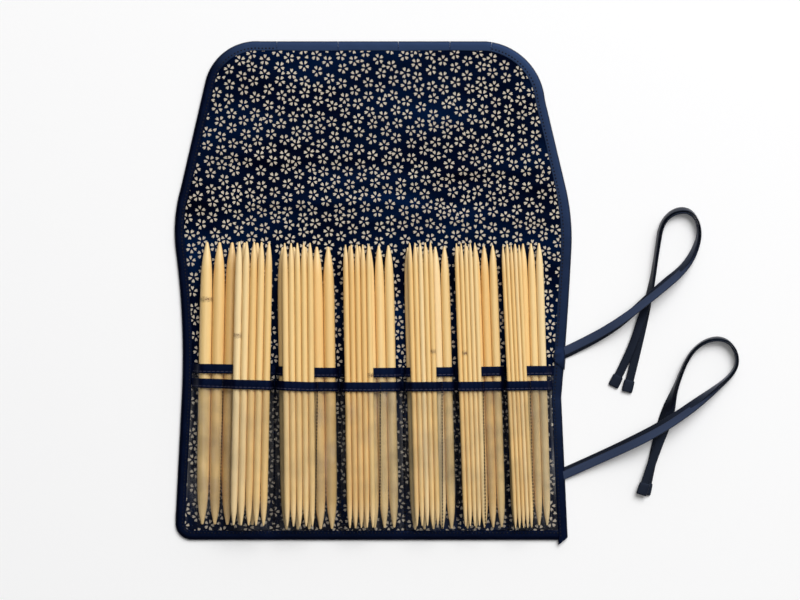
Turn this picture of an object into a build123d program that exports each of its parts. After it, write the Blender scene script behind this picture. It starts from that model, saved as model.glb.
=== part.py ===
from build123d import *
from math import asin, atan2, cos, degrees, hypot, pi, radians, sin, tan
import os

# Roll case of quilted cloth with clear pockets, sixty double-pointed bamboo needles
# and two tape ties. Millimetres; the open case lies flat on Z = 0 with the pocket
# mouths towards +Y, and the origin is under the middle of the case.

# Outline of the case, turning points seen from above
top_y = 133.8
bottom_y = -131.8
top_left_x = -60.0
top_right_x = 60.0
left_shoulder_x = -89.5
left_shoulder_y = 112.0
right_shoulder_x = 91.5
right_shoulder_y = 102.7
left_shoulder_bulge = 6.9
right_shoulder_bulge = 8.1
left_hip_x = -102.4
right_hip_x = 102.6
hip_y = 56.0
left_fold_x = -105.1
right_fold_x = 105.6
fold_bulge_y = 22.0
left_waist_x = -102.0
right_waist_x = 100.2
waist_y = -56.0
left_foot_x = -105.5
right_foot_x = 103.6
foot_y = -122.0
foot_radius = 6.4
tail_drop = 2.2
tail_tip_inset = 5.7
tail_root_inset = 6.8

# Cloth and its binding
cloth_thickness = 1.8
tongue_low = 0.5
tongue_high = 1.4
binding_width = 4.7
binding_height = 2.1
binding_web = 1.0
fit_gap = 0.05
cloth_fold_gap = 0.3
binding_fold_gap = 0.45
cut_margin = 1.0

# The cloth folds along the pocket seams and, across, where the flap starts
flap_fold_y = 30.7
seam_y = -45.5
seam_x = [-52.3, -17.8, 15.9, 44.1, 69.3]
seam_lean = [-0.3, 0.3, 0.8, 1.0, 1.9]

# Clear pockets and their hems
sheet_thickness = 0.25
hem_thickness = 0.4
hem_width = 4.7
back_mouth_y = -38.9
front_mouth_y = -46.3
pocket_end_y = -126.2
sheet_seam_inset = 0.6
hem_seam_inset = 0.8
drape_foot_inset = 1.6
nose_length = 4.0
tick_x = [-79.3, -29.4, 3.9, 36.6, 58.4, 83.2]

# Needles: thick sets stand in the back pockets, thin sets in the front ones
needle_length = 150.0
needles_per_set = 5
needle_gap = 0.25
needle_spacing = 0.04
needle_sides = 8
row_y = -30.6
back_diameter = [6.6, 6.0, 5.1, 4.8, 4.5, 4.2]
back_x = [-75.8, -35.2, -1.0, 29.6, 56.2, 81.3]
back_rise = [2.8, 0.4, 1.0, 0.4, 1.0, 2.2]
back_lean = [-1.0, 0.8, 1.2, 1.5, 1.9, 1.7]
front_diameter = [3.9, 3.3, 3.0, 2.7, 2.4, 2.1]
front_x = [-64.6, -40.0, -7.5, 26.7, 51.2, 76.0]
front_rise = [3.0, 2.4, 1.6, 2.6, 2.4, 1.2]
front_lean = [-1.0, 0.8, 1.2, 1.5, 1.9, 2.6]
taper_base = 3.5
taper_per_diameter = 1.65
tip_share = 0.14

# Ties: each is one tape sewn on at its middle, so that two tails leave the edge
tape_width = 4.5
tape_thickness = 0.7
end_tab = (5.4, 6.4, 1.5)

columns = range(len(seam_x) + 1)
seam_z = cloth_thickness + fit_gap
os.makedirs("parts", exist_ok=True)


def keep(piece, name):
    piece.part.label = name
    export_step(piece.part, f"parts/{name}.step")


with BuildSketch() as case_outline:
    with BuildLine():
        top = Line((top_left_x, top_y), (top_right_x, top_y))
        right_shoulder = (right_shoulder_x, right_shoulder_y)
        left_shoulder = (left_shoulder_x, left_shoulder_y)
        right_corner = SagittaArc(top @ 1, right_shoulder, right_shoulder_bulge)
        right_hip = Line(right_shoulder, (right_hip_x, hip_y))
        right_fold = TangentArc(
            right_hip @ 1, (right_fold_x, fold_bulge_y), tangent=right_hip % 1
        )
        right_waist = (right_waist_x, waist_y)
        right_bow = TangentArc(right_fold @ 1, right_waist, tangent=right_fold % 1)
        tail_tip = (right_foot_x - tail_tip_inset, bottom_y - tail_drop)
        tail_root = (right_foot_x - tail_root_inset, bottom_y)
        right_foot = Polyline(
            right_waist, (right_foot_x, bottom_y + tail_drop), tail_tip, tail_root
        )
        base = Line(tail_root, (left_foot_x + foot_radius, bottom_y))
        left_foot = (left_foot_x, bottom_y + foot_radius)
        foot_corner = TangentArc(base @ 1, left_foot, tangent=base % 1)
        left_rise = Line(left_foot, (left_waist_x, waist_y))
        left_fold = (left_fold_x, fold_bulge_y)
        left_hip = (left_hip_x, hip_y)
        left_bow = TangentArc(left_rise @ 1, left_fold, tangent=left_rise % 1)
        left_bulge = TangentArc(left_fold, left_hip, tangent=left_bow % 1)
        left_side = Line(left_hip, left_shoulder)
        left_corner = SagittaArc(left_shoulder, top @ 0, left_shoulder_bulge)
    make_face()


def inset_outline(distance):
    with BuildSketch() as inset:
        add(case_outline.sketch)
        offset(amount=-distance)
    return inset.sketch


# The plan of each layer at the edge: binding, its web, the cloth's sewn tongue,
# the binding's inner edge, the full cloth, and the pockets' sides
edge_plans = {
    "binding": case_outline.sketch,
    "web": inset_outline(binding_web),
    "tongue": inset_outline(binding_web + fit_gap),
    "inner": inset_outline(binding_width),
    "cloth": inset_outline(binding_width + fit_gap),
    "pocket": inset_outline(binding_width + 2 * fit_gap),
}


def seam_at(seam, y):
    """The x of a pocket seam at height y; past the outer columns it is off the case."""
    if seam < 0:
        return 2 * left_fold_x
    if seam >= len(seam_x):
        return 2 * right_fold_x
    return seam_x[seam] - (y - seam_y) * tan(radians(seam_lean[seam]))


def column_quad(column, inset, low_y, high_y):
    """The ground between two neighbouring seams, from low_y to high_y."""
    return (
        (seam_at(column - 1, low_y) + inset, low_y),
        (seam_at(column, low_y) - inset, low_y),
        (seam_at(column, high_y) - inset, high_y),
        (seam_at(column - 1, high_y) + inset, high_y),
    )


def column_plan(edge, column, inset, low_y, high_y):
    with BuildSketch() as plan:
        add(edge_plans[edge])
        Polygon(*column_quad(column, inset, low_y, high_y), align=None, mode=Mode.INTERSECT)
    return plan.sketch


def column_slab(edge, column, inset, low_y, high_y, low_z, high_z):
    with BuildPart() as slab:
        with BuildSketch(Plane.XY.offset(low_z)):
            add(column_plan(edge, column, inset, low_y, high_y))
        extrude(amount=high_z - low_z)
    return slab.part


def cloth_piece(column, low_y, high_y):
    """Full cloth inside the binding, and the thinner tongue that the binding grips."""
    with BuildPart() as cloth:
        add(column_slab("cloth", column, cloth_fold_gap, low_y, high_y, 0, cloth_thickness))
        add(column_slab("tongue", column, cloth_fold_gap, low_y, high_y, tongue_low, tongue_high))
    return cloth


def binding_piece(column, low_y, high_y):
    """A tape folded over the edge: a channel with the cloth's tongue inside."""
    slot_low = tongue_low - fit_gap
    slot_high = tongue_high + fit_gap
    sides = (column, binding_fold_gap, low_y, high_y)
    open_sides = (column, 0, low_y - cut_margin, high_y + cut_margin)
    with BuildPart() as binding:
        add(column_slab("binding", *sides, 0, binding_height))
        hole_z = (-cut_margin, binding_height + cut_margin)
        add(column_slab("inner", *open_sides, *hole_z), mode=Mode.SUBTRACT)
        add(column_slab("web", *open_sides, slot_low, slot_high), mode=Mode.SUBTRACT)
    return binding


class NeedleRow:
    """One set of needles: where its middle stands, how it leans and how high it lies."""

    def __init__(self, x, rise, lean, diameter, low_z):
        self.x, self.lean, self.diameter = x, lean, diameter
        self.top = pocket_end_y + rise + needle_length
        self.axis_z = low_z + diameter / 2
        self.pitch = diameter + needle_spacing
        self.reach = self.pitch * (needles_per_set - 1) / 2

    def middle(self, y):
        return self.x - (y - row_y) * tan(radians(self.lean))

    def section_plane(self, y):
        """Upright plane across the needles at y: local X across, local Y up."""
        across = (cos(radians(self.lean)), sin(radians(self.lean)), 0)
        along = (sin(radians(self.lean)), -cos(radians(self.lean)), 0)
        return Plane(origin=(self.middle(y), y, 0), x_dir=across, z_dir=along)


back_rows = [
    NeedleRow(x, rise, lean, size, cloth_thickness + needle_gap)
    for x, rise, lean, size in zip(back_x, back_rise, back_lean, back_diameter)
]
back_sheet_z = [row.axis_z + row.diameter / 2 + needle_gap for row in back_rows]
front_rows = [
    NeedleRow(x, rise, lean, size, sheet_z + sheet_thickness + fit_gap + hem_thickness + needle_gap)
    for x, rise, lean, size, sheet_z in zip(
        front_x, front_rise, front_lean, front_diameter, back_sheet_z
    )
]


def needle(diameter):
    """A straight stick about the origin along Z, tapered alike at both ends to a blunt tip."""
    taper = taper_base + taper_per_diameter * diameter
    tip_inset = (0.5 - tip_share) * diameter * cos(pi / needle_sides)
    with BuildPart() as stick:
        with BuildSketch():
            RegularPolygon(diameter / 2, needle_sides)
        extrude(amount=needle_length / 2, both=True)
        for place in (0, -1):
            end = stick.faces().sort_by(Axis.Z)[place]
            chamfer(end.edges(), tip_inset, taper, reference=end)
    return stick.part


def needle_set(row):
    stick = needle(row.diameter)
    plane = row.section_plane(row.top)
    with BuildPart() as needles:
        for number in range(needles_per_set):
            across = number * row.pitch - row.reach
            middle = plane.from_local_coords((across, row.axis_z, needle_length / 2))
            with Locations(Plane(origin=middle, x_dir=plane.x_dir, z_dir=plane.z_dir)):
                add(stick)
    return needles


def pocket_edge_at(seam, y):
    """Where a pocket ends sideways: at a seam or, outermost, at the binding."""
    if 0 <= seam < len(seam_x):
        return seam_at(seam, y)
    waist, foot, side = left_waist_x, left_foot_x, 1
    if seam > 0:
        waist, foot, side = right_waist_x, right_foot_x, -1
    share = max(0, (waist_y - y) / (waist_y - foot_y))
    return waist + share * (foot - waist) + side * binding_width


def foot_across(row, seam, side):
    """How far from the middle of a set its sheet can come down beside a seam."""
    reaches = [
        (pocket_edge_at(seam, y) + side * drape_foot_inset - row.middle(y))
        * cos(radians(row.lean))
        for y in (back_mouth_y, pocket_end_y)
    ]
    return max(reaches) if side > 0 else min(reaches)


def drape(row, grow, left_foot, right_foot, mouth_y):
    """Solid under a sheet pulled over a set of needles and down to a foot each side."""
    radius = row.diameter / 2 + needle_gap + grow
    start_y = mouth_y + row.diameter
    plane = row.section_plane(start_y)
    length = (start_y - pocket_end_y) / cos(radians(row.lean)) + grow
    top_z = row.axis_z + radius

    def turn_angle(centre_x, foot, side):
        """Angle at the needle's axis where the sheet leaves it for its foot."""
        across, up = (centre_x - foot[0]) * side, row.axis_z - foot[1]
        return degrees(atan2(up, across) + asin(radius / hypot(across, up)))

    left_turn = turn_angle(-row.reach, left_foot, 1)
    right_turn = turn_angle(row.reach, right_foot, -1)
    with BuildPart() as solid:
        with BuildSketch(plane):
            with BuildLine():
                over_first = CenterArc(
                    (-row.reach, row.axis_z), radius, 90 + left_turn, -left_turn
                )
                over_last = CenterArc(
                    (row.reach, row.axis_z), radius, 90 - right_turn, right_turn
                )
                Line(over_first @ 1, over_last @ 1)
                Polyline(over_first @ 0, left_foot, right_foot, over_last @ 0)
            make_face()
        extrude(amount=length)
        with BuildSketch(Plane(origin=plane.origin, x_dir=plane.z_dir, z_dir=-plane.x_dir)):
            Polygon(
                (-cut_margin, -cut_margin),
                (length, -cut_margin),
                (length, row.axis_z + tip_share * row.diameter + needle_gap + grow),
                (length - nose_length, top_z),
                (-cut_margin, top_z),
                align=None,
            )
        extrude(amount=left_fold_x, both=True, mode=Mode.INTERSECT)
    return solid.part


def drapes(column, back_grow, front_grow, mouth_y):
    """Solids under a layer: over the thick set and, for a front layer, the thin set too."""
    back, front = back_rows[column], front_rows[column]

    def feet(row, grow):
        return [
            (foot_across(row, seam, side) - side * grow, seam_z)
            for seam, side in ((column - 1, 1), (column, -1))
        ]

    solids = [drape(back, back_grow, *feet(back, back_grow), mouth_y)]
    if front_grow is None:
        return solids
    back_top_z = back.axis_z + back.diameter / 2 + needle_gap + back_grow
    tick_side = -1 if column == 0 else 1
    tick_across = (tick_x[column] - front.middle(seam_y)) * cos(radians(front.lean))
    front_feet = feet(front, front_grow)
    front_feet[0 if column == 0 else 1] = (tick_across + tick_side * front_grow, back_top_z)
    return solids + [drape(front, front_grow, *front_feet, mouth_y)]


def pocket_layer(column, outer, inner, low_z, thickness, inset, low_y, high_y):
    """A skin between two sets of drapes, with the strips beside them that are sewn down."""
    with BuildPart() as layer:
        add(column_slab("pocket", column, inset, low_y, high_y, low_z, low_z + thickness))
        for solid in drapes(column, *outer, high_y):
            add(solid)
        for solid in drapes(column, *inner, high_y):
            add(solid, mode=Mode.SUBTRACT)
        with BuildSketch(Plane.XY.offset(low_z)):
            with Locations((0, (low_y + high_y) / 2)):
                Rectangle(4 * right_fold_x, high_y - low_y)
        extrude(amount=needle_length, mode=Mode.INTERSECT)
    return layer


def tape_tail(points, radii):
    """A flat tape along straight runs joined by arcs."""
    with BuildPart() as tail:
        with BuildLine():
            route = FilletPolyline(*points, radius=radii)
        start = route % 0
        across = (start.Y, -start.X, 0)
        with BuildSketch(Plane(origin=route @ 0, x_dir=across, z_dir=start)):
            Rectangle(tape_width, tape_thickness)
        sweep(path=route.wire())
        share = tail.part.volume / (route.length * tape_width * tape_thickness)
        print(f"tail {route.length:.1f} mm, volume share {share:.4f}, radii {radii}")
        add(case_edge.part, mode=Mode.SUBTRACT)
    return tail, route


def corner_radii(points):
    """At each turn 0.45 of the shorter run, divided by the tangent of half the turn."""
    places = [Vector(*point) for point in points]
    radii = []
    for before, here, after in zip(places, places[1:], places[2:]):
        run_in, run_out = here - before, after - here
        half_turn = radians(run_in.get_angle(run_out)) / 2
        radius = 0.45 * min(run_in.length, run_out.length) / tan(half_turn)
        radii.append(round(radius, 1))
    return radii


panel_y = (bottom_y - 2 * tail_drop, flap_fold_y - cloth_fold_gap)
flap_y = (flap_fold_y + cloth_fold_gap, top_y + cut_margin)
skin = sheet_thickness + fit_gap
low_y = pocket_end_y - 2 * skin
for column in columns:
    number = column + 1
    keep(cloth_piece(column, *panel_y), f"cloth_panel_{number}")
    keep(cloth_piece(column, *flap_y), f"cloth_flap_{number}")
    keep(binding_piece(column, *panel_y), f"panel_binding_{number}")
    keep(binding_piece(column, *flap_y), f"flap_binding_{number}")
    keep(needle_set(back_rows[column]), f"thick_needles_{number}")
    keep(needle_set(front_rows[column]), f"thin_needles_{number}")

    keep(
        pocket_layer(
            column, (sheet_thickness, None), (0, None), seam_z,
            sheet_thickness, sheet_seam_inset, low_y, back_mouth_y,
        ),
        f"back_pocket_{number}",
    )
    keep(
        pocket_layer(
            column, (skin + sheet_thickness, sheet_thickness), (skin, 0), seam_z + skin,
            sheet_thickness, sheet_seam_inset, low_y, front_mouth_y,
        ),
        f"front_pocket_{number}",
    )
    with BuildPart() as hems:
        add(
            pocket_layer(
                column, (skin + hem_thickness, None), (skin, None), seam_z + skin,
                hem_thickness, hem_seam_inset, back_mouth_y - hem_width, back_mouth_y,
            ).part
        )
        add(
            pocket_layer(
                column,
                (2 * skin + hem_thickness, skin + hem_thickness),
                (2 * skin, skin),
                seam_z + 2 * skin,
                hem_thickness, hem_seam_inset, front_mouth_y - hem_width, front_mouth_y,
            ).part
        )
    keep(hems, f"pocket_hems_{number}")

# Route of each tail, from under the binding round its loop to the folded end. Of the
# two tails of one tape the near one lies lower and the far one on top of it.
upper_near_route = [
    (97.6, -35.3, 0.3), (117.5, -23.1, 2.4), (139.6, -11.2, 7.8), (151.8, -2.0, 7.8),
    (166.6, 13.6, 3.0), (171.6, 28.4, 0.8), (171.6, 36.6, 0.8), (166.4, 41.9, 0.8),
    (159.0, 41.9, 0.8), (153.7, 36.6, 0.8), (151.6, 22.2, 0.8), (147.6, -0.6, 0.8),
    (142.0, -25.0, 0.8), (136.6, -46.8, 0.85),
]
upper_far_route = [
    (96.4, -32.7, 1.5), (116.1, -20.4, 4.0), (138.2, -8.5, 9.4), (150.4, 0.7, 9.4),
    (165.2, 16.4, 4.8), (170.3, 29.0, 2.4), (170.3, 36.0, 2.4), (165.8, 40.5, 2.4),
    (159.6, 40.5, 2.4), (155.1, 36.0, 2.4), (152.9, 23.6, 2.4), (147.4, 1.6, 2.4),
    (139.6, -23.0, 2.4), (130.6, -44.4, 0.85),
]
lower_near_route = [
    (97.0, -99.8, 0.3), (119.0, -89.4, 2.6), (144.9, -78.1, 7.8), (160.5, -70.0, 7.8),
    (179.2, -56.4, 3.4), (193.6, -42.9, 0.85), (193.6, -32.5, 0.85), (186.6, -25.5, 0.85),
    (176.6, -25.5, 0.85), (169.6, -32.5, 0.85), (160.9, -48.8, 0.85), (153.4, -70.2, 0.85),
    (149.8, -86.0, 0.85), (146.2, -101.4, 0.85),
]
lower_far_route = [
    (96.0, -97.0, 1.5), (117.6, -86.7, 4.4), (143.6, -75.3, 9.7), (158.8, -67.4, 9.7),
    (177.8, -54.0, 5.2), (192.0, -42.6, 2.65), (192.0, -33.2, 2.65), (185.9, -27.1, 2.65),
    (177.3, -27.1, 2.65), (171.2, -33.2, 2.65), (164.4, -48.4, 2.65), (156.4, -69.4, 2.65),
    (150.2, -85.8, 2.65), (144.6, -101.6, 2.65),
]
tails = {
    "upper": (upper_near_route, upper_far_route),
    "lower": (lower_near_route, lower_far_route),
}
with BuildPart() as case_edge:
    with BuildSketch():
        add(inset_outline(-fit_gap))
    extrude(amount=2 * binding_height, both=True)
for place, routes in tails.items():
    with BuildPart() as ends:
        for side, points in zip(("near", "far"), routes):
            tail, route = tape_tail(points, corner_radii(points))
            keep(tail, f"{place}_tie_{side}_tail")
            heading = route % 1
            with BuildSketch(
                Plane(origin=route @ 1, x_dir=(heading.Y, -heading.X, 0), z_dir=heading)
            ):
                Rectangle(end_tab[0], end_tab[2])
            extrude(amount=end_tab[1])
    keep(ends, f"{place}_tie_ends")
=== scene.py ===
import bpy
import numpy as np
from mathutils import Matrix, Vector


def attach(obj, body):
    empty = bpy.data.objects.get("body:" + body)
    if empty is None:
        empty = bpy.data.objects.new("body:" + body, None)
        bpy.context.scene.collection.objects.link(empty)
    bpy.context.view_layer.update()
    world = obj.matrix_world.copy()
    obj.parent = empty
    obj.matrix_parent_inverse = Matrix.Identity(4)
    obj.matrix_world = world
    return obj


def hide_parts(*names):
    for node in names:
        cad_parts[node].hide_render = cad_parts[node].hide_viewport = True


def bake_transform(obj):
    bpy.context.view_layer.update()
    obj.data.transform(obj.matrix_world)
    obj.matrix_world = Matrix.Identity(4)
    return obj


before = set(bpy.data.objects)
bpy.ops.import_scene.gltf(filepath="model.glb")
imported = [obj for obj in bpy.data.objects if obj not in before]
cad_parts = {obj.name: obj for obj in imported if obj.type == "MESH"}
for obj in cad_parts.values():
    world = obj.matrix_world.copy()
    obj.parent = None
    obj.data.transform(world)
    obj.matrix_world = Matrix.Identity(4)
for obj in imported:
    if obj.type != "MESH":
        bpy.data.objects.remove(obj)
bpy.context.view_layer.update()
mm = 0.001
columns = range(6)
print("frame loaded:", len(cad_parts), "nodes")


def addObject(name, data):
    made = bpy.data.objects.new(name, data)
    bpy.context.scene.collection.objects.link(made)
    return made


# The camera looks straight down on the open case, with +Y at the top of the picture
view = {"centre": (0.0143, -0.0040), "height": 1.40, "widthSeen": 0.4264, "sensor": 36.0}
camera = addObject("camera", bpy.data.cameras.new("camera"))
camera.location = (*view["centre"], view["height"])
camera.data.sensor_width = view["sensor"]
camera.data.lens = view["sensor"] * view["height"] / view["widthSeen"]
bpy.context.scene.camera = camera
bpy.context.scene.view_settings.view_transform = "Standard"


# Shapes are worked out in millimetres and stored in metres. Named values become attributes
# of the points, which the materials read.
def finishMesh(name, points, faces, material, sharp=50, **values):
    mesh = bpy.data.meshes.new(name)
    mesh.from_pydata((points * mm).tolist(), [], faces)
    for label, numbers in values.items():
        layer = mesh.attributes.new(label, "FLOAT", "POINT")
        layer.data.foreach_set("value", np.asarray(numbers, np.float32).ravel())
    mesh.materials.append(material)
    mesh.shade_smooth()
    mesh.set_sharp_from_angle(angle=np.radians(sharp))
    mesh.update()
    return addObject(name, mesh)


def pointsOf(mesh):
    flat = np.empty(len(mesh.vertices) * 3)
    mesh.vertices.foreach_get("co", flat)
    return flat.reshape(-1, 3)


# A column's piece rides on one of its bodies or, given "bends", is left on no body with its place
# baked into its points; its name and those of the nodes it replaces end in the column's number
def columnPiece(name, skin, material, column, body, slot, *replaced, **values):
    n = column + 1
    piece = finishMesh(f"{name}_{n}", *skin, material, **values)
    if body == "bends":
        x = float(pointsOf(piece.data)[:, 0].mean())
        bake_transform(piece)
    else:
        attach(piece, f"{body}_{n}")
    if replaced:
        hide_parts(*(f"{cadNode}_{n}" for cadNode in replaced))
    return piece


def gridFaces(rows, across, wrap):
    r = np.arange(rows - 1)[:, None]
    c = np.arange(across if wrap else across - 1)[None, :]
    n = (c + 1) % across
    a, b = r * across + c, r * across + n
    return np.stack([a, b, b + across, a + across], -1).reshape(-1, 4)


# A closed skin over rings of points, an array of rings by points by 3, with flat ends
def tube(rings):
    rows, across = rings.shape[:2]
    index = np.arange(rows * across).reshape(rows, across)
    faces = gridFaces(rows, across, True).tolist()
    return rings.reshape(-1, 3), faces + [index[0, ::-1].tolist(), index[-1].tolist()]


# A closed slab between two height fields on the same grid of x and y
def shell(x, y, top, bottom):
    rows, across = x.shape
    points = np.concatenate([np.stack([x, y, z], -1).reshape(-1, 3) for z in (top, bottom)])
    index = np.arange(rows * across).reshape(rows, across)
    rim = np.concatenate([index[0, :-1], index[:-1, -1], index[-1, :0:-1], index[:0:-1, 0]])
    following = np.roll(rim, -1)
    walls = np.stack([rim, rim + index.size, following + index.size, following], -1)
    upper = gridFaces(rows, across, False)
    return points, np.concatenate([upper, upper[:, ::-1] + index.size, walls]).tolist()


# Several skins in one mesh
def together(skins):
    points, faces, start = [], [], 0
    for some, quads in skins:
        points.append(some)
        faces += [[i + start for i in quad] for quad in quads]
        start += len(some)
    return np.concatenate(points), faces


def smoothStep(low, high, value):
    t = np.clip((value - low) / (high - low), 0, 1)
    return t * t * (3 - 2 * t)


# Rows of vectors, each brought to length 1
def unitRows(vectors):
    return vectors / np.linalg.norm(vectors, axis=1)[:, None]


# Adds a node to the tree that was started last; its feeds are numbers, colours or other
# nodes' outputs
def node(kind, feeds=None, **settings):
    made = tree.nodes.new("ShaderNode" + kind)
    for key, value in settings.items():
        setattr(made, key, value)
    for socket, value in (feeds or {}).items():
        if isinstance(value, bpy.types.NodeSocket):
            tree.links.new(value, made.inputs[socket])
        else:
            made.inputs[socket].default_value = value
    return made


def maths(operation, *values):
    return node("Math", dict(enumerate(values)), operation=operation).outputs[0]


def times(product, *factors):
    for factor in factors:
        product = maths("MULTIPLY", product, factor)
    return product


def vectors(operation, *values):
    return node("VectorMath", dict(enumerate(values)), operation=operation).outputs[0]


def scaled(vector, scale):
    return node("VectorMath", {0: vector, "Scale": scale}, operation="SCALE").outputs[0]


def mapped(vector, **settings):
    return node("Mapping", {"Vector": vector, **settings}).outputs[0]


def mixColour(share, first, second):
    return node("Mix", {0: share, 6: first, 7: second}, data_type="RGBA").outputs[2]


def ranged(value, fromLow, fromHigh, low=0.0, high=1.0):
    return node("MapRange", dict(enumerate((value, fromLow, fromHigh, low, high)))).outputs[0]


def noise(vector, scale, detail=2.0, rough=0.5):
    feeds = {"Vector": vector, "Scale": scale, "Detail": detail, "Roughness": rough}
    return node("TexNoise", feeds).outputs[0]


def bump(height, strength, distance):
    return node("Bump", {"Height": height, "Strength": strength, "Distance": distance}).outputs[0]


def ownValue(label):
    return node("Attribute", attribute_name=label).outputs["Fac"]


# The inputs of a group are numbers, or vectors where no value is given
def newGroup(name, **inputs):
    global tree
    tree = bpy.data.node_groups.new(name, "ShaderNodeTree")
    for label, value in inputs.items():
        kind = "NodeSocketVector" if value is None else "NodeSocketFloat"
        socket = tree.interface.new_socket(label, in_out="INPUT", socket_type=kind)
        if value is not None:
            socket.default_value = value
    return tree, tree.nodes.new("NodeGroupInput").outputs


def closeGroup(**results):
    for label in results:
        tree.interface.new_socket(label, in_out="OUTPUT", socket_type="NodeSocketFloat")
    leave = tree.nodes.new("NodeGroupOutput").inputs
    for label, value in results.items():
        tree.links.new(value, leave[label])


def useGroup(group, **feeds):
    return node("Group", feeds, node_tree=group).outputs


def newMaterial(name):
    global tree
    material = bpy.data.materials.new(name)
    material.use_nodes = True
    tree = material.node_tree
    tree.nodes.clear()
    return material, node("TexCoord").outputs["Object"]


def closeMaterial(feeds):
    node("OutputMaterial", {0: node("BsdfPrincipled", feeds).outputs[0]})


# Over-and-under threads: the product of a sine wave along and one across, with fine noise
weave, entry = newGroup("threadWeave", Vector=None, Threads=9000.0)
parts = node("SeparateXYZ", {0: entry["Vector"]}).outputs
warp, weft = (maths("SINE", times(part, entry["Threads"])) for part in parts[:2])
slub = noise(entry["Vector"], 900.0, 3.0)
height = maths("MULTIPLY_ADD", times(warp, weft), 0.5, 0.5)
closeGroup(Height=maths("MULTIPLY_ADD", slub, 0.6, height), Slub=slub)

# Soft light and dark areas: paler worn areas on the tapes, patches of painted sheen on the printed
# cloth
wearAndSheen, entry = newGroup("wornToneAndSheen", Vector=None, Scale=30.0)
closeGroup(Tone=ranged(noise(entry["Vector"], entry["Scale"], 4.0), 0.34, 0.68))

# One petal along u, with v across it. With s from 0 at 0.3 of the radius r to 1 at r, the
# half width is 0.41 r s^0.75 (1 - s^3)^0.5; the notch in its end is wider by 0.9 of the
# distance past 0.83 r.
petal, entry = newGroup("petal", U=0.0, V=0.0, Radius=0.375)
outward = maths("DIVIDE", entry["U"], entry["Radius"])
share = ranged(outward, 0.3, 1.0)
bulk = maths("SQRT", maths("SUBTRACT", 1.0, maths("POWER", share, 3.0)))
half = times(maths("POWER", share, 0.75), bulk, 0.41, entry["Radius"])
notch = times(maths("SUBTRACT", outward, 0.83), 0.9, entry["Radius"])
off = maths("ABSOLUTE", entry["V"])
within, past = maths("LESS_THAN", off, half), maths("GREATER_THAN", off, notch)
closeGroup(Mask=times(within, past))

# Distance and direction from the middle of the cell a point lies in. Cells are 1 wide and
# 1.732 deep; each has its own small shift, turn and random number.
lattice, entry = newGroup("latticeCell", Vector=None, Shift=None, Loose=0.18)
squeezed = vectors("MULTIPLY_ADD", entry["Vector"], (1.0, 0.57735, 0.0), entry["Shift"])
inside = vectors("FRACTION", squeezed)
centred = vectors("MULTIPLY_ADD", inside, (1.0, 1.732, 0.0), (-0.5, -0.866, 0.0))
random = node("TexWhiteNoise", {"Vector": vectors("FLOOR", squeezed)}, noise_dimensions="3D").outputs
about = vectors("MULTIPLY_ADD", random["Color"], (1.0, 1.0, 0.0), (-0.5, -0.5, 0.0))
moved = vectors("ADD", centred, scaled(about, entry["Loose"]))
x, y, _ = node("SeparateXYZ", {0: moved}).outputs
squares = maths("MULTIPLY_ADD", x, x, times(y, y))
heading = maths("ARCTAN2", y, x)
closeGroup(
    Reach=maths("SQRT", squares),
    Angle=maths("MULTIPLY_ADD", random["Value"], 6.2832, heading),
    Chance=node("SeparateColor", {0: random["Color"]}).outputs[2],
)

# Blossoms stand on two interleaved lattices, which together are triangular; in each the
# angle about its middle is folded into fifths. Single petals lie between some of them.
blossoms, entry = newGroup("blossomPrint", Vector=None, PerMetre=129.0, Radius=0.375, Singles=0.34)
turned = mapped(entry["Vector"], Rotation=(0, 0, 0.45))
wander = node("TexNoise", {"Vector": entry["Vector"], "Scale": 45.0}).outputs["Color"]
warped = vectors("MULTIPLY_ADD", wander, (0.26, 0.26, 0.0), scaled(turned, entry["PerMetre"]))
fifth = 1.25664  # of a full turn


# A petal from a cell's middle in one direction, drawn back along it
def petalMask(spot, angle, back=0.0):
    u = maths("MULTIPLY_ADD", spot["Reach"], maths("COSINE", angle), back)
    v = times(spot["Reach"], maths("SINE", angle))
    return useGroup(petal, U=u, V=v, Radius=entry["Radius"])[0]


masks = []
for shift in ((0.0, 0.0, 0.0), (0.5, 0.5, 1.0)):
    spot = useGroup(lattice, Vector=warped, Shift=shift)
    folded = maths("FLOORED_MODULO", spot["Angle"], fifth)
    masks.append(petalMask(spot, maths("SUBTRACT", folded, fifth / 2)))
tint = spot["Chance"]
for shift in ((0.0, 0.3333, 2.0), (0.5, 0.1667, 3.0)):
    spot = useGroup(lattice, Vector=warped, Shift=shift, Loose=0.03)
    single = petalMask(spot, spot["Angle"], times(entry["Radius"], 0.65))
    masks.append(times(single, maths("LESS_THAN", spot["Chance"], entry["Singles"])))
flowers, singles = maths("MAXIMUM", *masks[:2]), maths("MAXIMUM", *masks[2:])
closeGroup(Print=maths("MAXIMUM", flowers, singles), Tint=tint)

clothLook = {
    # the second ground colour, teal, is a painted sheen
    "ground": (0.0001, 0.0, 0.0018, 1), "groundPaintedSheen": (0.0004, 0.0085, 0.038, 1),
    "cream": (0.60, 0.53, 0.42, 1), "creamDim": (0.52, 0.45, 0.36, 1),
    "shine": (0.10, 0.28, 1.0, 1), "level": 0.08, "threads": 15000.0, "patches": 26.0,
}
printedCloth, place = newMaterial("printedCloth")
threads = useGroup(weave, Vector=place, Threads=clothLook["threads"])
# Painted sheen: the dark ground turns lighter teal in soft bands drawn out along x
banded = mapped(place, Scale=(0.4, 1.15, 1))
patches = useGroup(wearAndSheen, Vector=banded, Scale=clothLook["patches"])[0]
tone = maths("POWER", patches, 1.7)
flower = useGroup(blossoms, Vector=place)
ground = mixColour(tone, clothLook["ground"], clothLook["groundPaintedSheen"])
cream = mixColour(flower["Tint"], clothLook["cream"], clothLook["creamDim"])
closeMaterial({
    "Base Color": mixColour(flower["Print"], ground, cream),
    "Normal": bump(threads["Height"], 0.25, 0.0001),
    "Roughness": maths("MULTIPLY_ADD", threads["Slub"], 0.25, 0.42),
    "Specular Tint": clothLook["shine"], "Specular IOR Level": clothLook["level"],
})
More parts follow.
